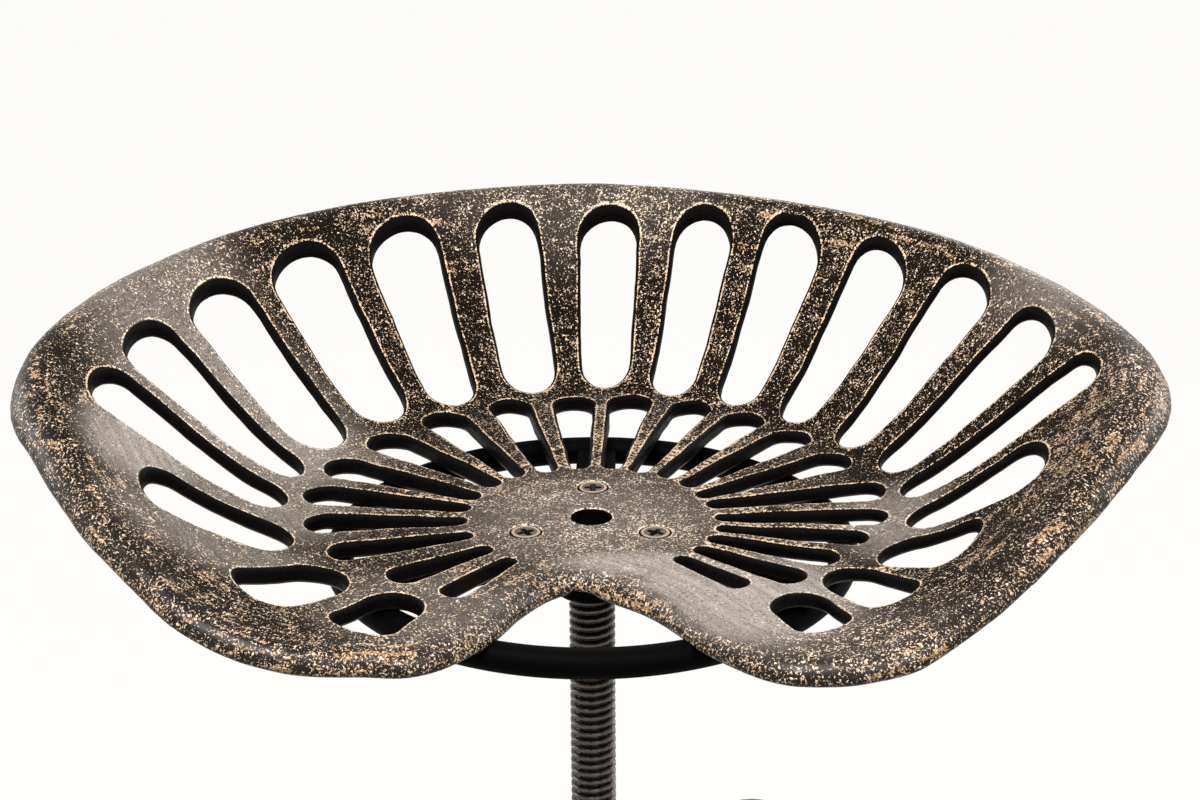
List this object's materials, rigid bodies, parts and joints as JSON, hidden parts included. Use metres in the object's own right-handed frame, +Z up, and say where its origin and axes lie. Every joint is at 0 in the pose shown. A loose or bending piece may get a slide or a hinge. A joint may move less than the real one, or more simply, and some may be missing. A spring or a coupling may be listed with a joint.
{
  "type": "stool",
  "caption": "Tractor seat stool: a slotted cast pan seat on a threaded rod that sets its height, over a base with bent tube legs and a foot ring.",
  "frame": {"origin": "on the floor, under the middle of the bounding box, with the seat at the height pictured", "axes": "+Z up along the screw, +Y towards the back of the seat, +X to the right for someone who faces the seat's notch"},
  "size_m": [0.49, 0.4056, 0.725],
  "materials": {
    "seat_casting": "sand cast, dark brown with the copper rubbed through on the high grain",
    "screw_nickel": "antiqued nickel plate",
    "black_paint": "satin black",
    "rod_steel": "dark oiled steel",
    "zinc_steel": "bright zinc plate",
    "nylon": "matt moulded"
  },
  "bodies": {
    "base": {"threaded_boss": "black_paint", "foot_ring": "black_paint", "leg_1": "black_paint", "leg_2": "black_paint", "leg_3": "black_paint", "leg_4": "black_paint", "foot_ring_bolt_1": "zinc_steel", "foot_ring_bolt_2": "zinc_steel", "foot_ring_bolt_3": "zinc_steel", "foot_ring_bolt_4": "zinc_steel", "foot_ring_nut_1": "zinc_steel", "foot_ring_nut_2": "zinc_steel", "foot_ring_nut_3": "zinc_steel", "foot_ring_nut_4": "zinc_steel", "glide_1": "nylon", "glide_2": "nylon", "glide_3": "nylon", "glide_4": "nylon"},
    "lift": {"stop_washer": "zinc_steel"},
    "seat_turn": {"seat": "seat_casting", "seat_screw_1": "screw_nickel", "seat_screw_2": "screw_nickel", "seat_screw_3": "screw_nickel", "seat_flange": "black_paint", "spoke_1": "black_paint", "spoke_2": "black_paint", "spoke_3": "black_paint", "under_seat_ring": "black_paint", "rod_collar": "black_paint", "threaded_rod": "rod_steel", "stop_screw": "zinc_steel"}
  },
  "joints": [
    {"name": "seat_height", "type": "slide", "parent": "base", "child": "lift", "axis": [0, 0, 1], "range_m": [-0.12, 0.08]},
    {"name": "seat_spin", "type": "hinge", "parent": "lift", "child": "seat_turn", "pos_m": [0.00142, -0.01642, 0.45], "axis": [0, 0, 1], "range_deg": [-10800, 7200]}
  ],
  "couplings": [
    {"joint": "seat_height", "follows": "seat_spin", "m_per_rad": 0.0006366}
  ]
}
